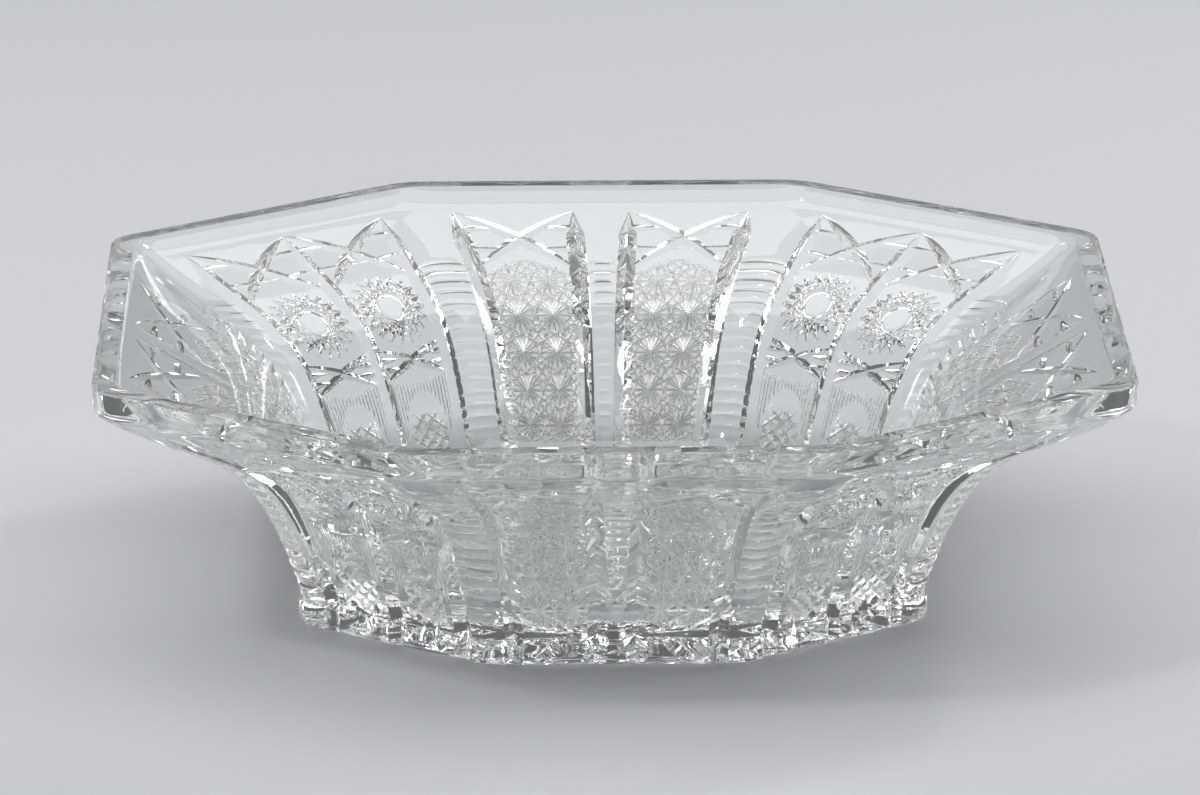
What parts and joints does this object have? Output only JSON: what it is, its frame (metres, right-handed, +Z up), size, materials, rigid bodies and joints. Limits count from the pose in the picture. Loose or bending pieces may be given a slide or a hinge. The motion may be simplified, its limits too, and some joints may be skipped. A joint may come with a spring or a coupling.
{
  "type": "fruit bowl",
  "caption": "Oblong octagonal cut-crystal fruit bowl: small foot, flaring wall with long mitre cuts and a wide flat-topped lip.",
  "frame": {"origin": "centre of the foot's underside, on the surface that the bowl stands on", "axes": "+X along the bowl's width, +Y along its depth from front to back, +Z up through its open top"},
  "size_m": [0.3, 0.27, 0.082],
  "materials": {
    "crystal": "polished clear lead crystal, wheel cut"
  },
  "bodies": {
    "root": {"bowl": "crystal"}
  },
  "joints": []
}
